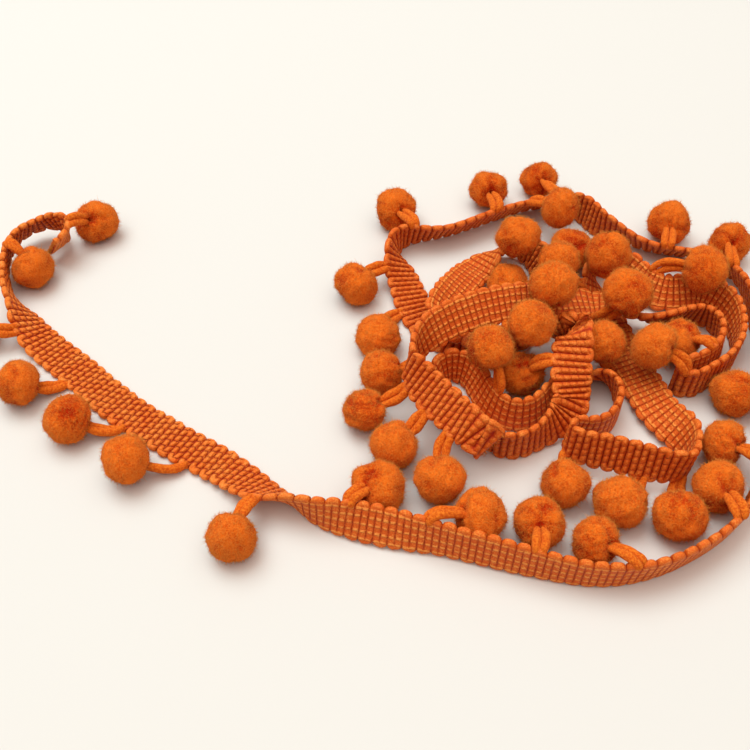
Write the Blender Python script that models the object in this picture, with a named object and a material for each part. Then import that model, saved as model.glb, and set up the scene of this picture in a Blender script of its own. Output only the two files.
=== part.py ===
# Pompom fringe trim lying in a loose heap: one long narrow braid tape that curls,
# twists and crosses itself, and the felted pompoms that hang from one of its edges,
# each on its own doubled tie. Lengths in the tables are millimetres on the floor z = 0.

import math

import bpy
import numpy as np
from mathutils import Matrix

MM = 0.001

# Driving dimensions, in millimetres
TAPE_HALF_WIDTH = 5.0
TAPE_HALF_THICKNESS = 0.85
SCALLOP_DEPTH = 0.75
GROOVE_DEPTH = 0.22
SCALLOP_PITCH = 3.3
POMPOM_RADIUS = 6.2
LONGEST_TIE = 7.5
SHORTEST_TIE = 3.4
TIE_ROOM = 2.1
ROOT_ZONE = 9.0
JOINT_GAP = 0.45
POMPOM_GAP = 0.5
FLOOR_SQUASH = 0.35
LUMP = 0.02
CREASE_DEPTH = 0.12
CREASE_SPREAD = 0.4
NECK_HEIGHT = 0.82
TIE_BEND = 0.4
TIE_LEAST_BEND = 3.0
NECK_AIM = 2.5

# Section across a tie: two strands of four sides, fused where they touch.
# Columns: along the tape's edge, across it.
TIE_SECTION = (
    (1.7, -0.5), (1.7, 0.5), (0.9, 0.95), (0.0, 0.4), (-0.9, 0.95),
    (-1.7, 0.5), (-1.7, -0.5), (-0.9, -0.95), (0.0, -0.4), (0.9, -0.95),
)
SIDES = len(TIE_SECTION)
TIE_STEPS = (0.0, 0.35, 0.7, 1.0)

# How the balls are eased apart: rounds, the pull to each wanted place and how long it lasts,
# the tie's tug, the share of a shove that each of two balls takes, and the share of a move made
SETTLE_ROUNDS = 320
SETTLE_PULL = 0.05
SETTLE_PULLED = 0.7
SETTLE_TUG = 0.6
SETTLE_SHARE = 0.5
SETTLE_STEP = 0.7
TIE_SAMPLES = (0.15, 0.35)
CLOTH_LINES = 7
FAR_OFF = 1e9

# How finely the tape's course is measured, and how often its height is worked out anew
MEASURES_PER_MM = 4
HEIGHT_ROUNDS = 3

BALL_START = 0.25
BALL_RINGS = 6

# The tape's middle line, from the curled cut end on the left to the end tucked under the heap.
# Columns: x, y, lift of the lowest edge over the floor, roll in degrees about the line.
# Roll 0 lays the pompom edge level on the left of the travel, 90 stands it straight up,
# 180 lays it level on the right, and -90 hangs it straight down.
CURLED_END = (
    (-90.99, 40.82, 2.5, 126), (-88.8, 44.3, 2.5, 122), (-88.1, 47.4, 2.5, 108), (-90.2, 50.2, 2.6, 78),
    (-93.6, 51.1, 2.8, 62), (-97.0, 50.1, 2.8, 56), (-100.1, 47.6, 2.6, 58), (-102.2, 44.0, 2.2, 66),
    (-103.1, 39.5, 1.6, 74), (-102.9, 34.8, 1.0, 80), (-101.9, 30.6, 0.5, 86), (-99.9, 25.5, 0.1, 96),
    (-96.0, 20.0, 0, 118),
)
LEFT_ARM = (
    (-91.5, 13.5, 0, 156), (-80.5, 3.5, 0, 180), (-66.5, -9.0, 0, 180), (-47.5, -22.5, 0, 180),
    (-32.5, -32.5, 0, 170), (-24.0, -39.0, 0, 140), (-19.0, -41.5, 0, 112), (-12.5, -44.5, 0, 84),
)
NEAR_ARC = (
    (-6.5, -46.0, 0, 66), (4.0, -48.5, 0, 60), (13.5, -51.0, 0, 74), (27.0, -55.0, 0, 80),
    (37.5, -58.0, 0, 86), (48.0, -60.0, 0, 92), (59.0, -59.0, 0, 98), (70.0, -54.5, 0, 100),
    (80.5, -47.0, 0, 98), (88.5, -36.5, 0, 95), (94.5, -23.0, 0, 92), (98.5, -9.0, 0, 88),
)
FAR_SIDE = (
    (100.0, 6.0, 0, 84), (101.5, 20.5, 0, 80), (100.5, 31.0, 0, 66), (96.0, 38.0, 0, 54),
    (89.5, 41.5, 0, 50), (82.5, 43.0, 0, 50), (76.5, 45.5, 0, 54), (71.0, 49.5, 0, 66),
    (65.5, 54.0, 0, 92), (61.5, 60.0, 0, 94), (55.5, 63.5, 0, 64), (46.5, 62.5, 0, 54),
    (37.0, 58.5, 0, 58), (28.0, 54.0, 0, 58), (20.0, 50.5, 0, 56), (13.0, 49.0, 0, 66),
    (8.0, 47.5, 0, 84), (5.5, 43.5, 0, 106),
)
FLAT_FALL_AND_LOOP = (
    (6.5, 37.5, 0, 146), (9.0, 29.5, 0, 170), (11.5, 21.5, 0, 180), (15.5, 14.5, 0, 180),
    (21.5, 10.5, 0, 180), (29.0, 9.5, 0, 178), (36.5, 12.5, 0, 180), (43.0, 19.5, 0, 170),
    (47.0, 29.0, 0, 145), (46.5, 37.5, 0, 118), (43.0, 42.5, 0.3, 98), (38.5, 43.5, 0.6, 76),
    (34.5, 41.0, 1.0, 45), (30.5, 38.0, 1.6, 12), (25.0, 31.0, 2.4, -14), (20.0, 22.5, 3.0, -30),
)
CLIMB_AND_TOP_STRIP = (
    (17.5, 16.0, 3.2, -36), (19.0, 10.5, 3.4, -32), (24.0, 7.0, 3.4, -28), (30.5, 6.0, 3.2, -30),
    (37.0, 6.2, 3.3, -34), (42.8, 6.3, 3.9, -48), (47.4, 6.0, 6.2, -78), (49.8, 2.5, 10.2, -108),
    (49.0, -1.0, 13.2, -140), (48.0, -5.5, 14.0, -170), (47.5, -9.5, 12.8, 178), (47.5, -13.0, 9.5, 168),
    (47.0, -16.5, 4.5, 145),
)
FRONT_CURVE_AND_INNER_STRIP = (
    (43.5, -20.0, 0.8, 114), (39.0, -23.5, 0, 96), (33.5, -26.0, 0, 90), (29.0, -25.5, 0, 84),
    (25.0, -21.5, 0, 60), (21.5, -16.0, 0, 32), (18.0, -10.5, 0, 30), (16.0, -7.0, 0, 56),
    (17.5, -2.0, 0, 74), (22.0, -1.5, 0, 74), (25.5, -6.0, 0, 68), (28.0, -12.0, 0, 70),
    (31.5, -16.0, 0, 76), (35.5, -17.0, 0, 76), (39.5, -15.5, 0, 74), (43.5, -12.0, 0, 62),
)
TWIST_AND_FOLDED_STRIP = (
    (48.0, -8.0, 0, 32), (51.5, -4.5, 0, -2), (55.5, -3.5, 0, -40), (59.0, -6.0, 0, -70),
    (60.3, -11.0, 0, -86), (58.5, -16.5, 0, -90), (55.0, -20.5, 0.2, -90), (50.8, -22.0, 0.8, -90),
    (47.2, -22.8, 1.6, -92), (45.8, -25.5, 2.2, -96), (47.8, -28.0, 2.4, -102),
    (52.0, -29.3, 2.5, -108), (57.5, -30.8, 2.5, -110), (63.0, -32.8, 2.5, -108),
    (68.5, -33.6, 2.2, -100), (72.0, -32.8, 1.6, -90),
)
RETURN_AND_UNDER_RUN = (
    (74.5, -28.8, 0.8, -84), (74.5, -24.5, 0.4, -66), (73.0, -20.5, 0.8, -42), (70.5, -16.0, 1.2, -24),
    (68.5, -10.5, 1.2, -20), (67.0, -3.0, 0.6, -14), (64.5, 7.5, 0.2, -6), (62.5, 19.5, 0, 0),
    (60.0, 27.0, 0, 30), (60.0, 33.0, 0, 70), (63.0, 38.0, 0, 82), (67.0, 37.5, 0.2, 76),
    (70.5, 34.0, 0.4, 58),
)
DOUBLE_LOOP = (
    (75.0, 27.5, 0.4, 47), (81.0, 25.5, 0.2, 45), (88.5, 26.0, 0, 52), (93.5, 22.0, 0, 64),
    (95.5, 14.5, 0, 80), (94.0, 6.0, 0, 88), (89.0, -1.0, 0, 90), (82.5, -5.5, 0, 90),
    (77.5, -7.0, 0, 90), (75.5, -5.5, 0, 90), (77.5, -3.0, 0, 90), (82.0, -1.0, 0, 88),
    (87.0, 2.5, 0, 86), (90.0, 7.5, 0, 84), (90.5, 12.5, 0, 80), (87.5, 16.5, 0, 76),
    (82.0, 16.5, 0.4, 70),
)
CROSS_STRIP_AND_TUCK = (
    (75.0, 14.5, 1.8, 58), (68.0, 14.5, 4.0, 38), (61.5, 17.0, 6.4, 15), (55.5, 17.5, 7.0, -8),
    (48.5, 15.5, 7.8, -26), (41.5, 14.0, 9.4, -38), (34.0, 11.5, 11.0, -42), (26.5, 8.5, 11.6, -44),
    (19.5, 5.0, 11.4, -48), (13.5, 0.5, 10.8, -62), (10.0, -4.0, 10.0, -84), (8.5, -9.0, 9.6, -104),
    (10.5, -13.0, 9.6, -124), (13.5, -17.5, 9.8, -136), (16.5, -21.3, 10.0, -138),
    (19.0, -24.6, 10.0, -138), (21.6, -27.4, 9.7, -130), (24.4, -29.3, 8.4, -118),
    (26.8, -29.8, 6.6, -106),
)
ROUTE = (
    CURLED_END + LEFT_ARM + NEAR_ARC + FAR_SIDE + FLAT_FALL_AND_LOOP + CLIMB_AND_TOP_STRIP
    + FRONT_CURVE_AND_INNER_STRIP + TWIST_AND_FOLDED_STRIP + RETURN_AND_UNDER_RUN + DOUBLE_LOOP
    + CROSS_STRIP_AND_TUCK
)

# The pompoms, in their order along the tape.
# Columns: place of the tie along the tape, then the ball's x, y and lift over the floor.
# Balls that crowd each other or the tape are eased apart from these places.
LONE_POMPOMS = (
    (7, -81.5, 53.5, 0), (32, -96.5, 39.0, 0), (59.7, -103.0, 11.0, 0),
    (80.7, -89.0, -7.5, 0), (101.7, -74.0, -18.5, 0), (122.7, -58.0, -30.5, 0), (144.7, -31.0, -49.5, 0),
    (165.7, 0.5, -36.5, 0), (183.7, 20.5, -42.5, 0), (207.7, 35.5, -46.5, 0), (228.7, 46.5, -52.0, 0),
    (255.7, 77.0, -38.5, 0), (271.7, 81.5, -27.0, 0), (296.7, 89.0, -10.5, 0), (316.7, 109.0, 14.0, 0),
    (340.7, 101.0, 45.0, 0), (362.7, 86.0, 55.5, 0),
)
FAR_POMPOMS = (
    (399.7, 50.0, 73.5, 0), (408.7, 52.8, 48.0, 2), (420.7, 34.0, 68.5, 0), (445.7, 6.0, 59.0, 0),
    (460.7, -5.5, 28.0, 0), (474.7, 1.0, 9.5, 0),
)
HEAP_POMPOMS = (
    (532.7, 54.9, 39.5, 0), (549.7, 39.5, 33.0, 7), (569.7, 33.5, 27.5, 1), (636.7, 38.6, -2.9, 3),
    (718.7, 30.2, -5.3, 6), (785.7, 44.2, -40.0, 0), (802.7, 54.3, -44.5, 0), (812.7, 66.0, -46.0, 0),
    (853.7, 57.5, 1.2, 3), (877.7, 50.0, 27.0, 2), (889.7, 61.3, 30.0, 8), (904.7, 87.5, 24.5, 8),
    (965.7, 69.5, -3.5, 5), (979.7, 81.5, 6.0, 1), (1028.7, 63.7, 11.7, 9), (1044.7, 42.2, 11.5, 12),
    (1056.7, 38.8, 3.0, 10), (1081.7, 1.5, -6.0, 0), (1092.7, 5.5, -18.0, 0), (1100.7, 8.5, -29.0, 0),
    (1108.7, 17.5, -33.5, 0),
)
POMPOMS = LONE_POMPOMS + FAR_POMPOMS + HEAP_POMPOMS


def clear_scene():
    for item in list(bpy.data.objects):
        bpy.data.objects.remove(item, do_unlink=True)


def cloth_material(name, colour, roughness):
    material = bpy.data.materials.new(name)
    material.use_nodes = True
    shader = material.node_tree.nodes["Principled BSDF"]
    shader.inputs["Base Color"].default_value = (*colour, 1.0)
    shader.inputs["Roughness"].default_value = roughness
    shader.inputs["Metallic"].default_value = 0.0
    return material


def natural_spline(knots, values, places):
    """Smooth curve through the values at the knots, read at the places."""
    gaps = np.diff(knots)
    count = len(knots)
    system = np.eye(count)
    bends = np.zeros_like(values)
    for i in range(1, count - 1):
        system[i, i - 1:i + 2] = gaps[i - 1], 2 * (gaps[i - 1] + gaps[i]), gaps[i]
        ahead = (values[i + 1] - values[i]) / gaps[i]
        behind = (values[i] - values[i - 1]) / gaps[i - 1]
        bends[i] = 6 * (ahead - behind)
    bends = np.linalg.solve(system, bends)
    left = np.clip(np.searchsorted(knots, places, side="right") - 1, 0, count - 2)
    gap = gaps[left]
    a = ((knots[left + 1] - places) / gap)[:, None]
    b = ((places - knots[left]) / gap)[:, None]
    sag = ((a ** 3 - a) * bends[left] + (b ** 3 - b) * bends[left + 1]) * (gap ** 2)[:, None] / 6
    return a * values[left] + b * values[left + 1] + sag


def unit(vectors):
    return vectors / np.linalg.norm(vectors, axis=-1, keepdims=True)


def tape_stations(half_pitch):
    """Middle line of the tape at even steps, with its across and face directions."""
    rows = np.array(ROUTE, dtype=float)
    rows[:, 3] = np.degrees(np.unwrap(np.radians(rows[:, 3])))
    chords = np.linalg.norm(np.diff(rows[:, :3], axis=0), axis=1)
    knots = np.concatenate(([0.0], np.cumsum(chords)))
    fine = np.linspace(0.0, knots[-1], int(knots[-1] * MEASURES_PER_MM))
    line = natural_spline(knots, rows, fine)
    lengths = np.linalg.norm(np.diff(line[:, :3], axis=0), axis=1)
    along = np.concatenate(([0.0], np.cumsum(lengths)))
    steps = int(round(along[-1] / half_pitch))
    even = np.linspace(0.0, along[-1], steps + 1)
    line = natural_spline(knots, rows, np.interp(even, along, fine))
    lift = np.maximum(line[:, 2], 0.0)
    roll = np.radians(line[:, 3])[:, None]
    middle = line[:, :3].copy()
    middle[:, 2] = lift
    # The height over the floor depends on the tilt, and the tilt a little on the height
    for _ in range(HEIGHT_ROUNDS):
        travel = unit(np.gradient(middle, axis=0))
        level = unit(np.stack((-travel[:, 1], travel[:, 0], 0 * travel[:, 0]), axis=1))
        across = np.cos(roll) * level + np.sin(roll) * np.cross(travel, level)
        face = np.cross(travel, across)
        rest = TAPE_HALF_WIDTH * abs(across[:, 2]) + TAPE_HALF_THICKNESS * abs(face[:, 2])
        middle[:, 2] = lift + rest
    travel = unit(np.gradient(middle, axis=0))
    level = unit(np.stack((-travel[:, 1], travel[:, 0], 0 * travel[:, 0]), axis=1))
    across = np.cos(roll) * level + np.sin(roll) * np.cross(travel, level)
    return even, middle, travel, across, np.cross(travel, across)


def mesh_object(name, points, faces, material):
    mesh = bpy.data.meshes.new(name)
    mesh.from_pydata((np.asarray(points) * MM).tolist(), [], faces)
    mesh.materials.append(material)
    item = bpy.data.objects.new(name, mesh)
    bpy.context.scene.collection.objects.link(item)
    return item


def rest_on_floor(points):
    points = np.array(points)
    points[:, 2] = np.maximum(points[:, 2], 0.0)
    return points


def tube_faces(sections, sides):
    faces = []
    for k in range(sections - 1):
        for j in range(sides):
            nxt = (j + 1) % sides
            a, b = k * sides + j, k * sides + nxt
            faces.append((a, b, b + sides, a + sides))
    faces.append(tuple(reversed(range(sides))))
    faces.append(tuple(range((sections - 1) * sides, sections * sides)))
    return faces


def build_tape(stations, material):
    """Braid tape: crosswise ribs, and scallops that alternate on its two edges."""
    _, middle, _, across, face = stations
    points = []
    for k in range(len(middle)):
        out = TAPE_HALF_WIDTH
        drawn_in = TAPE_HALF_WIDTH - SCALLOP_DEPTH
        plain, fringed = (out, drawn_in) if k % 2 else (drawn_in, out)
        thick = TAPE_HALF_THICKNESS
        thin = TAPE_HALF_THICKNESS - GROOVE_DEPTH
        plain_half, fringed_half = (thick, thin) if k % 2 else (thin, thick)
        points.append(middle[k] - plain * across[k] - plain_half * face[k])
        points.append(middle[k] + fringed * across[k] - fringed_half * face[k])
        points.append(middle[k] + fringed * across[k] + fringed_half * face[k])
        points.append(middle[k] - plain * across[k] + plain_half * face[k])
    points = rest_on_floor(points)
    return mesh_object("tape", points, tube_faces(len(middle), 4), material)


def place_on_tape(stations, distance):
    even, middle, travel, across, _ = stations
    k = int(np.argmin(abs(even - distance)))
    edge = middle[k] + across[k] * (TAPE_HALF_WIDTH + JOINT_GAP)
    return edge, travel[k], across[k]


def keep_off(points, others, room):
    """Push each point straight away from its nearest other, when that is too near."""
    away = points[:, None] - others[None]
    far = np.linalg.norm(away, axis=2)
    near = np.argmin(far, axis=1)
    rows = np.arange(len(points))
    short = np.maximum(room - far[rows, near], 0.0)
    return away[rows, near] / far[rows, near][:, None] * short[:, None]


def settle(stations):
    """Ease the balls apart from each other and from the tape, each within its tie's reach."""
    even, middle, _, across, _ = stations
    spans = np.linspace(-TAPE_HALF_WIDTH, TAPE_HALF_WIDTH, CLOTH_LINES)
    cloth = np.concatenate([middle[::2] + across[::2] * span for span in spans])
    cloth_place = np.tile(even[::2], len(spans))
    rest = POMPOM_RADIUS - FLOOR_SQUASH
    table = np.array(POMPOMS, dtype=float)
    wanted = np.column_stack((table[:, 1], table[:, 2], table[:, 3] + rest))
    edges = np.array([place_on_tape(stations, row[0])[0] for row in table])
    ball_room = 2 * POMPOM_RADIUS + POMPOM_GAP
    tape_room = POMPOM_RADIUS + TAPE_HALF_THICKNESS + POMPOM_GAP
    off_root = [cloth[abs(cloth_place - row[0]) > ROOT_ZONE] for row in table]
    centres = wanted.copy()
    for turn in range(SETTLE_ROUNDS):
        pull = SETTLE_PULL if turn < SETTLE_ROUNDS * SETTLE_PULLED else 0.0
        push = pull * (wanted - centres)
        gaps = centres[:, None] - centres[None]
        far = np.linalg.norm(gaps, axis=2)
        np.fill_diagonal(far, FAR_OFF)
        short = np.maximum(ball_room - far, 0.0)
        push += SETTLE_SHARE * (gaps / far[..., None] * short[..., None]).sum(axis=1)
        push += keep_off(centres, cloth, tape_room)
        tie = centres - edges
        length = np.linalg.norm(tie, axis=1, keepdims=True)
        over = np.maximum(length - POMPOM_RADIUS - LONGEST_TIE, 0.0)
        under = np.maximum(POMPOM_RADIUS + SHORTEST_TIE - length, 0.0)
        push += SETTLE_TUG * (under - over) * tie / length
        for part in TIE_SAMPLES:
            spots = edges + part * tie
            for i, spot in enumerate(spots):
                others = np.delete(np.arange(len(centres)), i)
                shove = keep_off(spot[None], centres[others], POMPOM_RADIUS + TIE_ROOM)[0]
                nearest = others[np.argmin(np.linalg.norm(spot - centres[others], axis=1))]
                push[i] += SETTLE_SHARE * shove
                push[nearest] -= SETTLE_SHARE * shove
                push[i] += keep_off(spot[None], off_root[i], TAPE_HALF_THICKNESS + TIE_ROOM)[0]
        centres = centres + SETTLE_STEP * push
        centres[:, 2] = np.maximum(centres[:, 2], rest)
    return centres


def tie_centres(edge, way, neck, pole):
    """Middle of the doubled tie: out of the tape's edge, then over to the ball."""
    span = np.linalg.norm(neck - edge)
    leaving = edge + way * max(span * TIE_BEND, TIE_LEAST_BEND)
    arriving = neck + pole * span * TIE_BEND
    centres = []
    for t in TIE_STEPS:
        a, b, c, d = (1 - t) ** 3, 3 * t * (1 - t) ** 2, 3 * t ** 2 * (1 - t), t ** 3
        centres.append(a * edge + b * leaving + c * arriving + d * neck)
    return np.array(centres)


def pompom_points(root, centre, seed):
    """Sections from the tie's root at the tape, through its two strands, round the ball."""
    edge, travel, way = root
    pole = unit(edge + way * NECK_AIM - centre)
    side = unit(travel - pole * (travel @ pole))
    third = np.cross(pole, side)
    neck = centre + pole * POMPOM_RADIUS * NECK_HEIGHT
    line = tie_centres(edge, way, neck, pole)
    ahead = unit(np.gradient(line, axis=0))
    ahead[0] = way
    ahead[-1] = -pole
    points = []
    for spot, forward in zip(line, ahead):
        wide = unit(side - forward * (forward @ side))
        tall = np.cross(-forward, wide)
        points.extend(spot + w * wide + h * tall for w, h in TIE_SECTION)
    rng = np.random.default_rng(seed)
    wobble = rng.uniform(0.0, 2 * math.pi, 4)
    for r in range(1, BALL_RINGS + 1):
        tilt = math.pi * (r - BALL_START) / (BALL_RINGS + 1 - BALL_START)
        for s in range(SIDES):
            turn = 2 * math.pi * (s - 0.5) / SIDES
            way_out = (math.cos(tilt) * pole
                       + math.sin(tilt) * (math.cos(turn) * side + math.sin(turn) * third))
            crease = CREASE_DEPTH * math.exp(-(math.cos(turn) / CREASE_SPREAD) ** 2)
            crease *= max(math.cos(tilt), 0.0)
            lump = LUMP * math.sin(2 * turn + wobble[0]) * math.sin(tilt + wobble[1])
            lump += LUMP * math.sin(3 * turn + wobble[2]) * math.sin(2 * tilt + wobble[3])
            points.append(centre + way_out * POMPOM_RADIUS * (1 - LUMP - crease + lump))
    points.append(centre - pole * POMPOM_RADIUS * (1 - LUMP))
    return rest_on_floor(points)


def pompom_faces():
    faces = [tuple(range(SIDES))]
    sections = len(TIE_STEPS) + BALL_RINGS
    for k in range(sections - 1):
        for j in range(SIDES):
            a, b = k * SIDES + j, k * SIDES + (j + 1) % SIDES
            faces.append((a, a + SIDES, b + SIDES, b))
    last = (sections - 1) * SIDES
    for j in range(SIDES):
        faces.append((last + j, sections * SIDES, last + (j + 1) % SIDES))
    return faces


def build_pompom(number, root, centre, material):
    points = pompom_points(root, centre, number)
    return mesh_object(f"pompom_{number:02d}", points, pompom_faces(), material)


def centre_on_floor(items):
    """Move every mesh so that the whole trim's box stands centred on the origin."""
    points = np.array([vertex.co for item in items for vertex in item.data.vertices])
    middle = (points.min(axis=0) + points.max(axis=0)) / 2
    shift = Matrix.Translation((-middle[0], -middle[1], 0.0))
    for item in items:
        item.data.transform(shift)


def build():
    clear_scene()
    braid_yarn = cloth_material("orange braid yarn", (0.72, 0.18, 0.03), 0.75)
    felt = cloth_material("orange felted pompom", (0.80, 0.19, 0.03), 0.95)
    stations = tape_stations(SCALLOP_PITCH / 2)
    items = [build_tape(stations, braid_yarn)]
    centres = settle(stations)
    for number, (row, centre) in enumerate(zip(POMPOMS, centres), start=1):
        items.append(build_pompom(number, place_on_tape(stations, row[0]), centre, felt))
    centre_on_floor(items)


build()
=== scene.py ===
# %% [markdown]
# # A pompom fringe trim in a loose heap
# The real trim is one narrow crocheted tape with felted wool balls tied along one edge.
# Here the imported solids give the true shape, and this lesson dresses them: first the braid
# with its ribs and scallops, then the balls with their fuzz and doubled ties, then the yarn
# finishes, and last a floor, soft light and a camera.

# %% Open the frame
import math
import bpy
import numpy as np
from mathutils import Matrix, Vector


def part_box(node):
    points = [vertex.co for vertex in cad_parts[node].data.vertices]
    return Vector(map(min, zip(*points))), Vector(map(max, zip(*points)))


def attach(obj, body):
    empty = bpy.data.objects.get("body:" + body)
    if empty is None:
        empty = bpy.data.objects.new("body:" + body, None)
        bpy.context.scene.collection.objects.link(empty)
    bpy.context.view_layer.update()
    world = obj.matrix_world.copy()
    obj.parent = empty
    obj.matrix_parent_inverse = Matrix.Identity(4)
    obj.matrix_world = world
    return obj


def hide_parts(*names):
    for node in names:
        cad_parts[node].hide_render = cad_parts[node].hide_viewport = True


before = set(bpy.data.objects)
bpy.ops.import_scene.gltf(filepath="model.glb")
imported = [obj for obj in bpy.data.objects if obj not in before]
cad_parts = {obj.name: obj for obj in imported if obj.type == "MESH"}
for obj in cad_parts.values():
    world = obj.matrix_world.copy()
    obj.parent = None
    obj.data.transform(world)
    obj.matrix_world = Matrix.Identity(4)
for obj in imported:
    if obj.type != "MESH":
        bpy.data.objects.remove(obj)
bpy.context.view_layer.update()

# %% [markdown]
# The tape has no straight stretch, so its middle line is the thing to know. A curve object
# with a bevel could follow it, but the braid also rolls, lies flat and stands on its edge, and
# a table with one roll for each point keeps hold of that. It is the table the solid was made
# from. Columns: x, y, lift of the lowest edge over the floor, all in mm, and roll in degrees.

# %% The tape's course
CURLED_END = (
    (-90.99, 40.82, 2.5, 126), (-88.8, 44.3, 2.5, 122), (-88.1, 47.4, 2.5, 108), (-90.2, 50.2, 2.6, 78),
    (-93.6, 51.1, 2.8, 62), (-97.0, 50.1, 2.8, 56), (-100.1, 47.6, 2.6, 58), (-102.2, 44.0, 2.2, 66),
    (-103.1, 39.5, 1.6, 74), (-102.9, 34.8, 1.0, 80), (-101.9, 30.6, 0.5, 86), (-99.9, 25.5, 0.1, 96),
    (-96.0, 20.0, 0, 118),
)
LEFT_ARM = (
    (-91.5, 13.5, 0, 156), (-80.5, 3.5, 0, 180), (-66.5, -9.0, 0, 180), (-47.5, -22.5, 0, 180),
    (-32.5, -32.5, 0, 170), (-24.0, -39.0, 0, 140), (-19.0, -41.5, 0, 112), (-12.5, -44.5, 0, 84),
)
NEAR_ARC = (
    (-6.5, -46.0, 0, 66), (4.0, -48.5, 0, 60), (13.5, -51.0, 0, 74), (27.0, -55.0, 0, 80),
    (37.5, -58.0, 0, 86), (48.0, -60.0, 0, 92), (59.0, -59.0, 0, 98), (70.0, -54.5, 0, 100),
    (80.5, -47.0, 0, 98), (88.5, -36.5, 0, 95), (94.5, -23.0, 0, 92), (98.5, -9.0, 0, 88),
)
FAR_SIDE = (
    (100.0, 6.0, 0, 84), (101.5, 20.5, 0, 80), (100.5, 31.0, 0, 66), (96.0, 38.0, 0, 54),
    (89.5, 41.5, 0, 50), (82.5, 43.0, 0, 50), (76.5, 45.5, 0, 54), (71.0, 49.5, 0, 66),
    (65.5, 54.0, 0, 92), (61.5, 60.0, 0, 94), (55.5, 63.5, 0, 64), (46.5, 62.5, 0, 54),
    (37.0, 58.5, 0, 58), (28.0, 54.0, 0, 58), (20.0, 50.5, 0, 56), (13.0, 49.0, 0, 66),
    (8.0, 47.5, 0, 84), (5.5, 43.5, 0, 106),
)
FLAT_FALL_AND_LOOP = (
    (6.5, 37.5, 0, 146), (9.0, 29.5, 0, 170), (11.5, 21.5, 0, 180), (15.5, 14.5, 0, 180),
    (21.5, 10.5, 0, 180), (29.0, 9.5, 0, 178), (36.5, 12.5, 0, 180), (43.0, 19.5, 0, 170),
    (47.0, 29.0, 0, 145), (46.5, 37.5, 0, 118), (43.0, 42.5, 0.3, 98), (38.5, 43.5, 0.6, 76),
    (34.5, 41.0, 1.0, 45), (30.5, 38.0, 1.6, 12), (25.0, 31.0, 2.4, -14), (20.0, 22.5, 3.0, -30),
)
CLIMB_AND_TOP_STRIP = (
    (17.5, 16.0, 3.2, -36), (19.0, 10.5, 3.4, -32), (24.0, 7.0, 3.4, -28), (30.5, 6.0, 3.2, -30),
    (37.0, 6.2, 3.3, -34), (42.8, 6.3, 3.9, -48), (47.4, 6.0, 6.2, -78), (49.8, 2.5, 10.2, -108),
    (49.0, -1.0, 13.2, -140), (48.0, -5.5, 14.0, -170), (47.5, -9.5, 12.8, 178), (47.5, -13.0, 9.5, 168),
    (47.0, -16.5, 4.5, 145),
)
FRONT_CURVE_AND_INNER_STRIP = (
    (43.5, -20.0, 0.8, 114), (39.0, -23.5, 0, 96), (33.5, -26.0, 0, 90), (29.0, -25.5, 0, 84),
    (25.0, -21.5, 0, 60), (21.5, -16.0, 0, 32), (18.0, -10.5, 0, 30), (16.0, -7.0, 0, 56),
    (17.5, -2.0, 0, 74), (22.0, -1.5, 0, 74), (25.5, -6.0, 0, 68), (28.0, -12.0, 0, 70),
    (31.5, -16.0, 0, 76), (35.5, -17.0, 0, 76), (39.5, -15.5, 0, 74), (43.5, -12.0, 0, 62),
)
TWIST_AND_FOLDED_STRIP = (
    (48.0, -8.0, 0, 32), (51.5, -4.5, 0, -2), (55.5, -3.5, 0, -40), (59.0, -6.0, 0, -70),
    (60.3, -11.0, 0, -86), (58.5, -16.5, 0, -90), (55.0, -20.5, 0.2, -90), (50.8, -22.0, 0.8, -90),
    (47.2, -22.8, 1.6, -92), (45.8, -25.5, 2.2, -96), (47.8, -28.0, 2.4, -102),
    (52.0, -29.3, 2.5, -108), (57.5, -30.8, 2.5, -110), (63.0, -32.8, 2.5, -108),
    (68.5, -33.6, 2.2, -100), (72.0, -32.8, 1.6, -90),
)
RETURN_AND_UNDER_RUN = (
    (74.5, -28.8, 0.8, -84), (74.5, -24.5, 0.4, -66), (73.0, -20.5, 0.8, -42), (70.5, -16.0, 1.2, -24),
    (68.5, -10.5, 1.2, -20), (67.0, -3.0, 0.6, -14), (64.5, 7.5, 0.2, -6), (62.5, 19.5, 0, 0),
    (60.0, 27.0, 0, 30), (60.0, 33.0, 0, 70), (63.0, 38.0, 0, 82), (67.0, 37.5, 0.2, 76),
    (70.5, 34.0, 0.4, 58),
)
DOUBLE_LOOP = (
    (75.0, 27.5, 0.4, 47), (81.0, 25.5, 0.2, 45), (88.5, 26.0, 0, 52), (93.5, 22.0, 0, 64),
    (95.5, 14.5, 0, 80), (94.0, 6.0, 0, 88), (89.0, -1.0, 0, 90), (82.5, -5.5, 0, 90),
    (77.5, -7.0, 0, 90), (75.5, -5.5, 0, 90), (77.5, -3.0, 0, 90), (82.0, -1.0, 0, 88),
    (87.0, 2.5, 0, 86), (90.0, 7.5, 0, 84), (90.5, 12.5, 0, 80), (87.5, 16.5, 0, 76),
    (82.0, 16.5, 0.4, 70),
)
CROSS_STRIP_AND_TUCK = (
    (75.0, 14.5, 1.8, 58), (68.0, 14.5, 4.0, 38), (61.5, 17.0, 6.4, 15), (55.5, 17.5, 7.0, -8),
    (48.5, 15.5, 7.8, -26), (41.5, 14.0, 9.4, -38), (34.0, 11.5, 11.0, -42), (26.5, 8.5, 11.6, -44),
    (19.5, 5.0, 11.4, -48), (13.5, 0.5, 10.8, -62), (10.0, -4.0, 10.0, -84), (8.5, -9.0, 9.6, -104),
    (10.5, -13.0, 9.6, -124), (13.5, -17.5, 9.8, -136), (16.5, -21.3, 10.0, -138),
    (19.0, -24.6, 10.0, -138), (21.6, -27.4, 9.7, -130), (24.4, -29.3, 8.4, -118),
    (26.8, -29.8, 6.6, -106),
)
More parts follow.
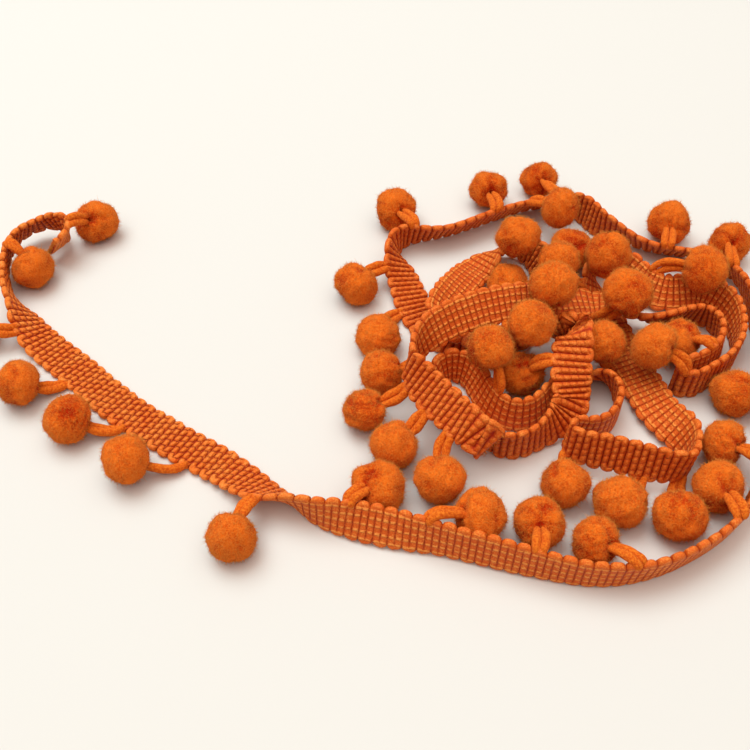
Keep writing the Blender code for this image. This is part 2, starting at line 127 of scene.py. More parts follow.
ROUTE = (
    CURLED_END + LEFT_ARM + NEAR_ARC + FAR_SIDE + FLAT_FALL_AND_LOOP + CLIMB_AND_TOP_STRIP
    + FRONT_CURVE_AND_INNER_STRIP + TWIST_AND_FOLDED_STRIP + RETURN_AND_UNDER_RUN + DOUBLE_LOOP
    + CROSS_STRIP_AND_TUCK
)

print("points in the tape's course:", len(ROUTE))

# %% [markdown]
# A tie leaves the tape about every 21 mm where the trim lies free. In the heap some balls hide
# behind others, so a formula would set them wrongly, and the places are listed one by one.

# %% Where each tie leaves the tape, in mm along it
TIE_PLACES = (
    7, 32, 59.7, 80.7, 101.7, 122.7, 144.7, 165.7, 183.7, 207.7, 228.7,
    255.7, 271.7, 296.7, 316.7, 340.7, 362.7, 399.7, 408.7, 420.7, 445.7, 460.7,
    474.7, 532.7, 549.7, 569.7, 636.7, 718.7, 785.7, 802.7, 812.7, 853.7, 877.7,
    889.7, 904.7, 965.7, 979.7, 1028.7, 1044.7, 1056.7, 1081.7, 1092.7, 1100.7, 1108.7,
)
print("ties:", len(TIE_PLACES))

# %% [markdown]
# A natural spline runs smoothly through every point of the table. Places along the tape are
# counted in ribs, because the braid repeats rib by rib: that way a rib, a scallop and a tie
# always fall where they do on the solid.

# %% A smooth line through the table
MM = 0.001
RIB_PITCH = 1.65
HALF_WIDTH = 5.0
HALF_THICKNESS = 0.85
MEASURES_PER_MM = 4


def unit(vectors):
    return vectors / np.linalg.norm(vectors, axis=-1, keepdims=True)


def natural_spline(knots, values, places):
    gaps = np.diff(knots)
    count = len(knots)
    system = np.eye(count)
    bends = np.zeros_like(values)
    for i in range(1, count - 1):
        system[i, i - 1:i + 2] = gaps[i - 1], 2 * (gaps[i - 1] + gaps[i]), gaps[i]
        ahead = (values[i + 1] - values[i]) / gaps[i]
        behind = (values[i] - values[i - 1]) / gaps[i - 1]
        bends[i] = 6 * (ahead - behind)
    bends = np.linalg.solve(system, bends)
    left = np.clip(np.searchsorted(knots, places, side="right") - 1, 0, count - 2)
    gap = gaps[left]
    a = ((knots[left + 1] - places) / gap)[:, None]
    b = ((places - knots[left]) / gap)[:, None]
    sag = ((a ** 3 - a) * bends[left] + (b ** 3 - b) * bends[left + 1]) * (gap ** 2)[:, None] / 6
    return a * values[left] + b * values[left + 1] + sag


rows = np.array(ROUTE, dtype=float)
rows[:, 3] = np.degrees(np.unwrap(np.radians(rows[:, 3])))
chords = np.linalg.norm(np.diff(rows[:, :3], axis=0), axis=1)
knots = np.concatenate(([0.0], np.cumsum(chords)))
fine = np.linspace(0.0, knots[-1], int(knots[-1] * MEASURES_PER_MM))
fine_line = natural_spline(knots, rows, fine)
steps = np.linalg.norm(np.diff(fine_line[:, :3], axis=0), axis=1)
along = np.concatenate(([0.0], np.cumsum(steps)))
TAPE_LENGTH = along[-1]
RIBS = int(round(TAPE_LENGTH / RIB_PITCH))
print("tape length in mm:", round(TAPE_LENGTH, 1), "ribs:", RIBS)

# %% [markdown]
# The tape rests on the floor with its lowest edge, so the height of its middle depends on how
# far it is rolled there, and the roll in turn on which way it runs. A few rounds settle both.
# The frame has the trim's box in its middle, so the table is moved by the same amount.

# %% The tape's place and turn at any rib
SETTLE_ROUNDS = 4
SCALLOP_DEPTH = 0.75
GROOVE_DEPTH = 0.22


def tape_course(places):
    """Middle, travel, across and face of the tape at places counted in ribs."""
    distance = places * TAPE_LENGTH / RIBS
    line = natural_spline(knots, rows, np.interp(distance, along, fine))
    lift = np.maximum(line[:, 2], 0.0)
    roll = np.radians(line[:, 3])[:, None]
    middle = line[:, :3].copy()
    middle[:, 2] = lift
    for _ in range(SETTLE_ROUNDS):
        travel = unit(np.gradient(middle, distance, axis=0))
        level = unit(np.stack((-travel[:, 1], travel[:, 0], 0 * travel[:, 0]), axis=1))
        across = np.cos(roll) * level + np.sin(roll) * np.cross(travel, level)
        face = np.cross(travel, across)
        rest = HALF_WIDTH * abs(across[:, 2]) + HALF_THICKNESS * abs(face[:, 2])
        middle[:, 2] = lift + rest
    return middle, travel, across, face


def own_low_corner():
    """Low corner of the solid tape, worked out from the table as the solid was."""
    ribs = np.arange(RIBS + 1.0)
    middle, _, across, face = tape_course(ribs)
    odd = (ribs % 2)[:, None]
    plain = HALF_WIDTH - SCALLOP_DEPTH * (1 - odd)
    tied = HALF_WIDTH - SCALLOP_DEPTH * odd
    plain_half = HALF_THICKNESS - GROOVE_DEPTH * (1 - odd)
    tied_half = HALF_THICKNESS - GROOVE_DEPTH * odd
    corners = []
    for side in (-1, 1):
        corners.append(middle - plain * across + side * plain_half * face)
        corners.append(middle + tied * across + side * tied_half * face)
    return np.min(corners, axis=(0, 1))


shift = np.array(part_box("tape")[0])[:2] / MM - own_low_corner()[:2]
shift = np.array((*shift, 0.0))
print("the frame stands off the table by", shift.round(2), "mm")

# %% [markdown]
# The braid's front shows fat crosswise ribs: one thick yarn runs to and fro across the tape,
# so each scallop on an edge joins two neighbouring ribs, and the two edges take turns. The
# back is a flatter grid. A plain ribbon with a bump would look printed, so the ribs, the
# deep grooves and the scallops are real shape here, swept along the course station by
# station. Each vertex keeps its rib number, its place across and whether it is on the front,
# and the yarn finish reads those later. All sizes are in mm, as in the table.

# %% Sizes of the braid
RIB_STEPS = np.array((0.0, 0.17, 0.5, 0.83))
ACROSS = np.array((
    -4.85, -4.4, -3.75, -3.05, -2.35, -1.65, -1.0, -0.33,
    0.33, 1.0, 1.65, 2.35, 3.05, 3.75, 4.4, 4.85,
))
LOOP_OUT = 5.25
LOOP_IN = 4.4
LOOP_FULLNESS = 0.6
UNEVEN_LOOP = 0.13
EDGE_ROUND = 0.85
SPREAD_FROM = 2.8
SPREAD_OVER = 2.05
CLOSED_FROM = 3.2
CLOSED_OVER = 1.2
FRONT_GROOVE = 0.36
FRONT_RIB = 0.90
BACK_GROOVE = 0.72
BACK_RIB = 0.80
RIB_FULLNESS = 0.55
UNEVEN_RIB = 0.07
print("points round the braid:", 2 * len(ACROSS) + 2)

# %% [markdown]
# Chain stitches break each front rib into plump lumps that slant a little, out of step from rib to rib,
# and on the back the yarns cross in small squares. The loose left run shows its lumps most, and the rest
# of the braid is pulled smoother. The same share later sets painted light: the loose run gets more
# painted highlight, and the rest lies in painted shade.

# %% Sizes of the stitches
COLUMN_WIDTH = 1.85
COLUMN_LUMP = 0.10
CHAIN_WIDTH = 1.9
CHAIN_SLANT = 0.22
CHAIN_LUMP = 0.28
CHAIN_LEVEL = 0.75
CHAIN_LUCK = 0.22
# These also set how far the painted shade of the heap reaches.
LUMPY_END = 165.0
LUMPY_FADE = 40.0
LEAST_LUMPY = 0.55
BRAID_SEED = 7


def lumps_and_light_at(places):
    """How lumpy the braid is and how lit it is painted: 1 on the loose left run, less on the rest, which
    lies in painted shade.
    """
    loose = np.clip((LUMPY_END - places * RIB_PITCH) / LUMPY_FADE, 0, 1)
    return LEAST_LUMPY + (1 - LEAST_LUMPY) * loose


def rib_number(places):
    """The rib that each place lies on."""
    return np.minimum(np.floor(places), RIBS - 1).astype(int)


luck = np.random.default_rng(BRAID_SEED)
rib_luck = luck.normal(0.0, UNEVEN_RIB, RIBS + 1)
loop_luck = luck.uniform(-UNEVEN_LOOP, UNEVEN_LOOP, (2, RIBS + 2))
row_phase = np.arange(RIBS + 1) % 2 * 0.5 + luck.uniform(-CHAIN_LUCK, CHAIN_LUCK, RIBS + 1)
print("scallops on the two edges:", RIBS)

# %% [markdown]
# A ring of points goes round the braid at each station: out along the front, round one edge
# and home along the back. A rib is high in its middle and low at its two sides, the chain
# stitches and squares are added to that, and near an edge the ribs close up to a scallop.

# %% One ring of the braid at each station


def braid_edges(places, plain_loop, tied_loop):
    """How far the scallops reach out on the plain and the tied edge."""
    scallop = np.round(places / 2).astype(int)
    plain_out = LOOP_OUT + loop_luck[0, scallop][:, None]
    tied_out = LOOP_OUT + loop_luck[1, scallop][:, None]
    plain_edge = LOOP_IN + (plain_out - LOOP_IN) * plain_loop ** LOOP_FULLNESS
    tied_edge = LOOP_IN + (tied_out - LOOP_IN) * tied_loop ** LOOP_FULLNESS
    return plain_edge, tied_edge


def braid_rings(places):
    """Points round the braid, with each one's place across, share of front and of scallop."""
    middle, _, across, face = tape_course(places)
    plain_loop = abs(np.cos(np.pi * (places - 1) / 2))[:, None]
    tied_loop = abs(np.cos(np.pi * places / 2))[:, None]
    plain_edge, tied_edge = braid_edges(places, plain_loop, tied_loop)
    edge = np.where(ACROSS < 0, plain_edge, tied_edge)
    spread = np.clip((abs(ACROSS) - SPREAD_FROM) / SPREAD_OVER, 0, 1)
    width = ACROSS + np.sign(ACROSS) * spread * (edge - HALF_WIDTH)
    loop = np.where(ACROSS < 0, plain_loop, tied_loop)
    closed = np.clip((abs(ACROSS) - CLOSED_FROM) / CLOSED_OVER, 0, 1) * loop ** 2
    rib = abs(np.sin(np.pi * places))[:, None] ** RIB_FULLNESS
    ribs = 1 - (1 - rib) * (1 - closed)
    near = np.clip((abs(width) - edge + EDGE_ROUND) / EDGE_ROUND, 0, 1)
    rounding = np.sqrt(1 - near ** 2)
    row = rib_number(places)
    slant = CHAIN_SLANT * (places - row - 0.5)
    chain = ACROSS / CHAIN_WIDTH + (row_phase[row] + slant)[:, None]
    lumps = CHAIN_LUMP * (abs(np.sin(np.pi * chain)) - CHAIN_LEVEL) * (1 - closed) * rib
    lumps = lumps * lumps_and_light_at(places)[:, None]
    plump = 1 + rib_luck[row][:, None]
    front = (FRONT_GROOVE + (FRONT_RIB - FRONT_GROOVE) * ribs * plump + lumps) * rounding
    squares = COLUMN_LUMP * abs(np.cos(np.pi * ACROSS / COLUMN_WIDTH)) * (1 - closed)
    back = (BACK_GROOVE + (BACK_RIB - BACK_GROOVE) * ribs + squares) * rounding
    none = np.zeros_like(plain_edge)
    wide = np.concatenate((-plain_edge, width, tied_edge, width[:, ::-1]), axis=1)
    high = np.concatenate((none, -front, none, back[:, ::-1]), axis=1)
    side = np.concatenate((none + 0.5, 1 + 0 * front, none + 0.5, 0 * back), axis=1)
    joined = np.concatenate((plain_loop ** 2, closed, tied_loop ** 2, closed[:, ::-1]), axis=1)
    rings = middle[:, None] + wide[..., None] * across[:, None] + high[..., None] * face[:, None]
    return rings, wide, side, joined


def ring_faces(count, sides):
    """Faces between rings of points, closed at both ends."""
    start = (np.arange(count - 1) * sides)[:, None]
    here = np.arange(sides)[None]
    ahead = (here + 1) % sides
    quads = np.stack((start + here, start + ahead, start + ahead + sides, start + here + sides), -1)
    faces = quads.reshape(-1, 4).tolist()
    faces.append(list(range(sides))[::-1])
    faces.append(list(range((count - 1) * sides, count * sides)))
    return faces


places = (np.arange(RIBS)[:, None] + RIB_STEPS[None]).ravel()
places = np.append(places, float(RIBS))
rings, wide, side, joined = braid_rings(places)
print("rings along the braid:", len(rings))

# %% [markdown]
# The rings become one closed mesh. Marks are attributes with a number at each point. They
# travel with the mesh, so a finish can follow the yarn round every twist, which a pattern in
# plain object space couldn't.

# %% Make the braid
LEAST_HEIGHT = 0.02


def add_piece(name, points, faces, marks):
    """A smooth mesh in the frame's place, with a number at each point for each mark."""
    mesh = bpy.data.meshes.new(name)
    points = np.array(points) + shift
    points[:, 2] = np.maximum(points[:, 2], LEAST_HEIGHT)
    mesh.from_pydata((points * MM).tolist(), [], faces)
    for mark, numbers in marks.items():
        layer = mesh.attributes.new(mark, "FLOAT", "POINT")
        layer.data.foreach_set("value", np.asarray(numbers, dtype=np.float32).ravel())
    mesh.polygons.foreach_set("use_smooth", [True] * len(mesh.polygons))
    piece = bpy.data.objects.new(name, mesh)
    bpy.context.scene.collection.objects.link(piece)
    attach(piece, "root")
    return piece


sides = wide.shape[1]
marks = {
    "rib": np.repeat(places, sides),
    "across": wide,
    "front": side,
    "joined": joined,
    "phase": np.repeat(row_phase[rib_number(places)], sides),
    "lumps_and_light": np.repeat(lumps_and_light_at(places), sides),
}
faces = ring_faces(len(places), sides)
braid = add_piece("braid_tape", rings.reshape(-1, 3), faces, marks)
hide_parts("tape")
print("braid triangles:", 2 * len(faces))

# %% [markdown]
# Each ball is wet-felted wool: dense and a little lumpy, drawn in where its tie grips it,
# so it looks like a small mushroom or kidney. An ico sphere has even triangles all over,
# which takes such dents better than a sphere of rings. One is made with the sphere operator,
# and its points are read once and moved anew for each ball.

# %% A plain ball to start from
BALL_DETAIL = 5
bpy.ops.object.select_all(action="DESELECT")
bpy.ops.mesh.primitive_ico_sphere_add(subdivisions=BALL_DETAIL, radius=1.0)
plain_ball = bpy.context.active_object
BALL_WAYS = unit(np.array([v.co for v in plain_ball.data.vertices], dtype=float))
BALL_FACES = [list(p.vertices) for p in plain_ball.data.polygons]
bpy.data.objects.remove(plain_ball, do_unlink=True)
print("faces of a ball:", len(BALL_FACES))

# %% [markdown]
# Felting leaves a dimple under the tie, a crease over the top where the yarn pulls, a few
# folds and many low lumps. Each is a soft hump or trough along the ways from the ball's
# middle, so one sum gives the whole surface, and the fibres can be rooted in the same sum.

# %% The felt's dents and lumps
BALL_RADIUS = 6.2
BULK = 0.935
UNEVEN_BULK = 0.055
OVAL = 0.08
SQUAT = 0.05
DIMPLE = 0.10
DIMPLE_REACH = 0.10
CREASE = 0.15
CREASE_WIDTH = 0.16
CREASE_START = 0.1
CREASE_RISE = 0.8
FOLDS = 3
FOLD_DEPTH = 0.055
FOLD_WIDTH = 0.075
FOLD_START = 0.35
FOLD_PULL = 0.8
LUMPS = 22
LUMP_HEIGHT = 0.05
FIRST_WAVE = 1.5
WAVE_STEP = 0.6
ANY_PHASE = 6.28
# How strongly the dents, folds and underside are painted into shade, and how much lighter the lumps are
# painted.
DIMPLE_DARK = 3.0
FOLD_DARK = 9
LUMP_DARK = 4
UNDERSIDE_DARK = 0.6


def felt_surface(ways, pole, grip, seed):
    """How far the felt reaches along each way, and the painted shade there: dents, folds and underside
    darker, lumps lighter.
    """
    rng = np.random.default_rng(seed)
    height = ways @ pole
    beside = ways @ grip
    dimple = DIMPLE * np.exp(-(1 - height) / DIMPLE_REACH)
    crease = CREASE * np.exp(-(beside / CREASE_WIDTH) ** 2)
    crease = crease * np.clip(height - CREASE_START, 0, 1) ** CREASE_RISE
    folds = np.zeros(len(ways))
    for _ in range(FOLDS):
        plane = unit(rng.normal(size=3))
        spot = unit(rng.normal(size=3) + FOLD_PULL * pole)
        off = ways @ plane - spot @ plane
        fold = FOLD_DEPTH * np.exp(-(off / FOLD_WIDTH) ** 2)
        folds += fold * np.clip(ways @ spot - FOLD_START, 0, 1)
    lumps = np.zeros(len(ways))
    for number in range(LUMPS):
        wave = rng.normal(size=3) * (FIRST_WAVE + WAVE_STEP * number)
        waves = np.sin(ways @ wave + rng.uniform(0, ANY_PHASE))
        lumps += LUMP_HEIGHT / (1 + WAVE_STEP * number) * waves
    oval = OVAL * rng.uniform(-1, 1) * (ways @ unit(rng.normal(size=3))) ** 2
    bulk = BULK + rng.uniform(-UNEVEN_BULK, UNEVEN_BULK) + oval - SQUAT * height ** 2
    reach = BALL_RADIUS * (bulk - dimple - crease - folds + lumps)
    # Painted shade on the underside, where less light reaches.
    underside = UNDERSIDE_DARK * np.clip(-ways[:, 2], 0, 1)
    painted_shade = DIMPLE_DARK * (dimple + crease) + FOLD_DARK * folds - LUMP_DARK * lumps + underside
    return reach, np.clip(painted_shade, 0, 1)


print("lumps on each ball:", LUMPS)

# %% [markdown]
# The solids were settled so that no ball meets another, so each ball's middle is read from
# its solid instead of listed again. The far side of a solid is a plain ball, without the
# tie, and the sphere that fits it best has the middle that is wanted.

# %% Where each ball sits, read from its solid
BALL_SPAN = 9.5
SAME_SPOT_DIGITS = 7
TIE_GAP = 0.45


def ball_centre(node, root):
    """Middle of the ball in a pompom's solid, in table mm: a sphere fitted to its far side."""
    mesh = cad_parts[node].data
    spots = np.round([v.co for v in mesh.vertices], SAME_SPOT_DIGITS)
    spots = np.unique(spots, axis=0) / MM - shift
    far = np.linalg.norm(spots - root, axis=1)
    spots = spots[far > far.max() - BALL_SPAN]
    system = np.column_stack((2 * spots, np.ones(len(spots))))
    answer = np.linalg.lstsq(system, (spots ** 2).sum(axis=1), rcond=None)[0]
    return answer[:3]


by_rib = tape_course(np.arange(RIBS + 1.0))
tie_ribs = np.round(np.array(TIE_PLACES) * RIBS / TAPE_LENGTH).astype(int)
tie_middles, tie_travels, tie_ways, _ = (part[tie_ribs] for part in by_rib)
tie_roots = tie_middles + tie_ways * (HALF_WIDTH + TIE_GAP)
names = [f"pompom_{number:02d}" for number in range(1, len(TIE_PLACES) + 1)]
centres = np.array([ball_centre(name, root) for name, root in zip(names, tie_roots)])
lowest = centres[:, 2].min()
print("ball centres from", round(lowest, 2), "to", round(centres[:, 2].max(), 2), "mm high")

# %% [markdown]
# A doubled tie is two soft strands side by side, from under the scallops of the braid to
# the dimple in the ball. Both follow one smooth curve, each a little to its own side, and
# are thinner where they are sewn in and gripped.

# %% The doubled tie
TIE_SIDES = 10
TIE_RINGS = 14
SEWN_IN = 1.8
NECK = 0.6
LEAVING = 0.18
SHORTEST_LEAVING = 1.1
ARRIVING = 0.4
MOST_TWIST = 35
WANDER = 0.12
WANDER_WAVES = (4, 8)
APART = 0.72
FURTHER_APART = 0.3
THIN = 0.62
THICKER = 0.45
THICK_SOONER = 1.05
UNEVEN_STRAND = 0.05
STRAND_WAVES = 17


def tie_curve(root, way, centre, pole):
    """The tie's middle line, from inside the braid to inside the ball."""
    neck = centre + pole * BALL_RADIUS * NECK
    start = root - way * SEWN_IN
    span = np.linalg.norm(neck - root)
    leaving = root + way * max(span * LEAVING, SHORTEST_LEAVING)
    arriving = neck + pole * span * ARRIVING
    t = np.linspace(0, 1, TIE_RINGS)[:, None]
    curve = (1 - t) ** 3 * start + 3 * t * (1 - t) ** 2 * leaving
    return curve + 3 * t ** 2 * (1 - t) * arriving + t ** 3 * neck


def tie_strands(curve, side, rng):
    """Two strands as rings of points, and the faces that close them."""
    share = np.linspace(0, 1, TIE_RINGS)
    swell = np.sin(np.pi * share)
    ahead = unit(np.gradient(curve, axis=0))
    wide = unit(side - ahead * (ahead @ side)[:, None])
    tall = np.cross(ahead, wide)
    turn = np.radians(rng.uniform(-MOST_TWIST, MOST_TWIST)) * share[:, None]
    beside = np.cos(turn) * wide + np.sin(turn) * tall
    angles = np.linspace(0, 2 * np.pi, TIE_SIDES, endpoint=False)[None, :, None]
    around = np.cos(angles) * wide[:, None] + np.sin(angles) * tall[:, None]
    points = []
    faces = []
    for hand in (-1, 1):
        waves = share * rng.uniform(*WANDER_WAVES) + rng.uniform(0, ANY_PHASE)
        apart = APART + FURTHER_APART * swell + WANDER * np.sin(waves)
        middle = curve + beside * (hand * apart)[:, None]
        thick = THIN + THICKER * np.sin(np.pi * np.clip(share * THICK_SOONER, 0, 1)) ** 0.5
        waves = np.sin(share * STRAND_WAVES + rng.uniform(0, ANY_PHASE))
        thick = thick * (1 + UNEVEN_STRAND * waves)
        rings = middle[:, None] + around * thick[:, None, None]
        start = sum(len(p) for p in points)
        faces += [[start + i for i in face] for face in ring_faces(TIE_RINGS, TIE_SIDES)]
        points.append(rings.reshape(-1, 3))
    return np.concatenate(points), faces


print("faces of a tie:", 2 * len(ring_faces(TIE_RINGS, TIE_SIDES)))

# %% [markdown]
# Loose wool fibres make the soft edge of a felt ball. Hair particles don't export as a
# closed shape, so each fibre is a thin spike of three sides, rooted in the felt and leaning
# over. They are light in the model, with four faces each.

# %% Loose fibres
THINNEST_FIBRE = 0.035
THICKEST_FIBRE = 0.065
FIBRE_ROOT = 0.12
OFF_LINE = 0.01
FIBRE_FACES = np.array(((0, 2, 1), (0, 1, 3), (1, 2, 3), (2, 0, 3)))
THIRDS = (0.0, 2.094, 4.189)


def loose_fibres(roots, outward, lengths, lean, rng, fat=1.0):
    """Thin three-sided spikes that lean over from their roots."""
    count = len(roots)
    drift = unit(np.cross(outward, rng.normal(size=(count, 3))))
    ahead = unit(outward * lean[:, None] + drift)
    beside = unit(np.cross(ahead, outward + OFF_LINE))
    above = np.cross(ahead, beside)
    thick = fat * rng.uniform(THINNEST_FIBRE, THICKEST_FIBRE, count)[:, None]
    feet = roots - outward * FIBRE_ROOT
    corners = []
    for angle in THIRDS:
        corners.append(feet + thick * (math.cos(angle) * beside + math.sin(angle) * above))
    corners.append(feet + ahead * lengths[:, None])
    points = np.stack(corners, axis=1).reshape(-1, 3)
    base = np.arange(count)[:, None] * 4
    return points, (base[:, :, None] + FIBRE_FACES[None]).reshape(-1, 3).tolist()


print("faces of a fibre:", len(FIBRE_FACES))

# %% [markdown]
# The braid's yarn is hairy too, though less than felt, and both cut ends have frayed into a
# tuft. The same spikes serve: short ones rooted at points of the braid picked at random, and
# longer, fatter ones that leave each end along the tape.

# %% Fuzz and frayed ends of the braid
BRAID_FIBRES = 5000
FUZZ_LENGTH = (0.25, 0.6)
FUZZ_LEAN = (0.3, 1.5)
FRAYED_FIBRES = 60
FRAYED_WIDTH = 4.2
FRAYED_DEPTH = 0.45
FRAYED_LENGTH = (0.5, 1.6)
FRAYED_LEAN = (1.0, 4.0)
FRAYED_FAT = 2.5
# Painted highlight on the braid's fibres.
FUZZ_HIGHLIGHT = 0.5
FUZZ_SEED = 5


def braid_fuzz():
    rng = np.random.default_rng(FUZZ_SEED)
    spots = np.array([v.co for v in braid.data.vertices]) / MM - shift
    ways = np.array([v.normal for v in braid.data.vertices])
    picked = rng.choice(len(spots), BRAID_FIBRES, replace=False)
    lengths = rng.uniform(*FUZZ_LENGTH, BRAID_FIBRES)
    lean = rng.uniform(*FUZZ_LEAN, BRAID_FIBRES)
    first_points, first_faces = loose_fibres(spots[picked], ways[picked], lengths, lean, rng)
    points = [first_points]
    faces = list(first_faces)
    for end, outward in ((0, -1), (-1, 1)):
        spread = rng.uniform(-FRAYED_WIDTH, FRAYED_WIDTH, FRAYED_FIBRES)[:, None]
        depth = rng.uniform(-FRAYED_DEPTH, FRAYED_DEPTH, FRAYED_FIBRES)[:, None]
        middle, travel, across, face = (part[end] for part in by_rib)
        roots = middle + spread * across + depth * face
        lengths = rng.uniform(*FRAYED_LENGTH, FRAYED_FIBRES)
        lean = rng.uniform(*FRAYED_LEAN, FRAYED_FIBRES)
        way = np.tile(outward * travel, (FRAYED_FIBRES, 1))
        more_points, more_faces = loose_fibres(roots, way, lengths, lean, rng, FRAYED_FAT)
        start = sum(len(p) for p in points)
        points.append(more_points)
        faces += (np.array(more_faces) + start).tolist()
    points = np.concatenate(points)
    marks = {"fuzz": np.full(len(points), FUZZ_HIGHLIGHT), "painted_shade": np.zeros(len(points))}
    piece = add_piece("braid_fuzz", points, faces, marks)
    return piece


fuzz_piece = braid_fuzz()
print("fibres on the braid:", len(fuzz_piece.data.polygons) // 4)

# %% [markdown]
# One pompom is a felt ball, its tie and its loose fibres, joined in one piece as they are in
# the solid. A ball that lies on the floor is flattened a little by its own weight, and one
# lies pressed flatter than the rest. The tie's faces take the second finish.

# %% Make every pompom
FIBRES = 2500
BALL_FIBRE_LENGTH = (0.45, 1.25)
LONG_FIBRE_SHARE = 0.06
LONG_FIBRE_GAIN = 0.8
BALL_FIBRE_LEAN = (0.4, 2.2)
# Painted highlight on a ball's fibres, less at the root and most at the tip.
ROOT_HIGHLIGHT = 0.4
TIP_HIGHLIGHT = 1.0
TIE_PULL = 2.5
LOW_BALL = 7.0
MOST_FLAT = 0.07
FLAT_BALLS = {"pompom_23": 0.22}
FIRST_SEED = 1000


def flat_share(name, centre, rng):
    """How much of its height a ball loses to its own weight."""
    if centre[2] >= LOW_BALL:
        return 0.0
    return FLAT_BALLS.get(name, rng.uniform(0.0, MOST_FLAT))


def make_pompom(name, number, centre):
    rng = np.random.default_rng(FIRST_SEED + number)
    root, travel, way = (part[number] for part in (tie_roots, tie_travels, tie_ways))
    pole = unit(root + way * TIE_PULL - centre)
    grip = unit(travel - pole * (travel @ pole))
    reach, painted_shade = felt_surface(BALL_WAYS, pole, grip, number)
    settled = np.array((1.0, 1.0, 1.0 - flat_share(name, centre, rng)))
    ball_points = (centre + BALL_WAYS * reach[:, None]) * settled
    strand_points, strand_faces = tie_strands(tie_curve(root, way, centre, pole), grip, rng)
    ways = unit(rng.normal(size=(FIBRES, 3)))
    # depth here is the painted shade at each fibre's root.
    spots, depth = felt_surface(ways, pole, grip, number)
    lengths = rng.uniform(*BALL_FIBRE_LENGTH, FIBRES)
    lengths = lengths * (1 + LONG_FIBRE_GAIN * (rng.random(FIBRES) > 1 - LONG_FIBRE_SHARE))
    lean = rng.uniform(*BALL_FIBRE_LEAN, FIBRES)
    roots = centre + ways * spots[:, None]
    hair_points, hair_faces = loose_fibres(roots, ways, lengths, lean, rng)
    hair_points = hair_points * settled
    first_strand = len(ball_points)
    first_hair = first_strand + len(strand_points)
    faces = list(BALL_FACES)
    faces += [[first_strand + i for i in face] for face in strand_faces]
    faces += [[first_hair + i for i in face] for face in hair_faces]
    no_tone = np.zeros(first_hair)
    hair_tone = np.tile((ROOT_HIGHLIGHT, ROOT_HIGHLIGHT, ROOT_HIGHLIGHT, TIP_HIGHLIGHT), FIBRES)
    marks = {
        "fuzz": np.concatenate((no_tone, hair_tone)),
        "painted_shade": np.concatenate((painted_shade, np.zeros(len(strand_points)), np.repeat(depth, 4))),
    }
    points = np.concatenate((ball_points, strand_points, hair_points))
    pompom = add_piece(name + "_felt", points, faces, marks)
    finish = np.zeros(len(faces), dtype=np.int32)
    finish[len(BALL_FACES):len(BALL_FACES) + len(strand_faces)] = 1
    pompom.data.polygons.foreach_set("material_index", finish)
    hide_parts(name)
    return pompom


pompoms = [make_pompom(name, number, centres[number]) for number, name in enumerate(names)]
triangles = sum(len(p.vertices) - 2 for p in pompoms[0].data.polygons)
print("pompoms:", len(pompoms), "triangles in one:", triangles)

# %% [markdown]
# Finishes come as shader sums. A number from a node is wrapped so that it can be added and
# multiplied as in ordinary Python, and each other node is made by one method.

# %% Shader numbers that add and multiply


class Number:
    """A number from a shader node."""

    def __init__(self, finish, socket):
        self.finish = finish
        self.socket = socket

    def maths(self, operation, *others):
        node = self.finish.node("ShaderNodeMath", {"operation": operation}, (self, *others))
        return Number(self.finish, node.outputs[0])

    def __add__(self, other):
        return self.maths("ADD", other)

    __radd__ = __add__

    def __mul__(self, other):
        return self.maths("MULTIPLY", other)

    __rmul__ = __mul__

    def __sub__(self, other):
        return self.maths("SUBTRACT", other)

    def __rsub__(self, other):
        return self.maths("MULTIPLY", -1.0).maths("ADD", other)

    def __pow__(self, other):
        return self.maths("POWER", other)

    def wave(self):
        """Arches: 0 at each whole number and 1 half-way between."""
        return self.maths("MULTIPLY", math.pi).maths("SINE").maths("ABSOLUTE")

    def between(self, low, high):
        """0 below low, 1 above high, and a smooth rise between."""
        settings = {"interpolation_type": "SMOOTHSTEP", "clamp": True}
        node = self.finish.node("ShaderNodeMapRange", settings, {0: self, 1: low, 2: high})
        return Number(self.finish, node.outputs[0])


class Finish:
    """One material, built node by node."""

    def __init__(self, name, **steady):
        self.material = bpy.data.materials.new(name)
        self.material.use_nodes = True
        self.tree = self.material.node_tree
        self.shader = self.tree.nodes["Principled BSDF"]
        for socket, value in steady.items():
            self.shader.inputs[socket.replace("_", " ")].default_value = value

    def node(self, kind, settings=(), sockets=()):
        made = self.tree.nodes.new(kind)
        for name, value in dict(settings).items():
            setattr(made, name, value)
        pairs = sockets.items() if isinstance(sockets, dict) else enumerate(sockets)
        for place, value in pairs:
            self.feed(made.inputs[place], value)
        return made

    def feed(self, socket, value):
        if isinstance(value, Number):
            value = value.socket
        if isinstance(value, bpy.types.NodeSocket):
            self.tree.links.new(value, socket)
        else:
            socket.default_value = value

    def mark(self, name):
        node = self.node("ShaderNodeAttribute", {"attribute_name": name})
        return Number(self, node.outputs["Fac"])

    def grain(self, scale, detail=2.0, roughness=0.5):
        """Noise on the piece itself, scale in bumps for each metre."""
        place = self.node("ShaderNodeTexCoord").outputs["Object"]
        sockets = {"Vector": place, "Scale": scale, "Detail": detail, "Roughness": roughness}
        return Number(self, self.node("ShaderNodeTexNoise", (), sockets).outputs["Fac"])

    def blend(self, share, first, second):
        node = self.node("ShaderNodeMix", {"data_type": "RGBA"}, {0: share, 6: first, 7: second})
        return node.outputs[2]

    def colour(self, value):
        self.feed(self.shader.inputs["Base Color"], value)

    def relief(self, height, depth):
        bump = self.node("ShaderNodeBump", (), {"Height": height, "Distance": depth})
        self.feed(self.shader.inputs["Normal"], bump.outputs[0])


WARM_SHEEN = (1.0, 0.42, 0.12, 1.0)
print("shader helpers ready")
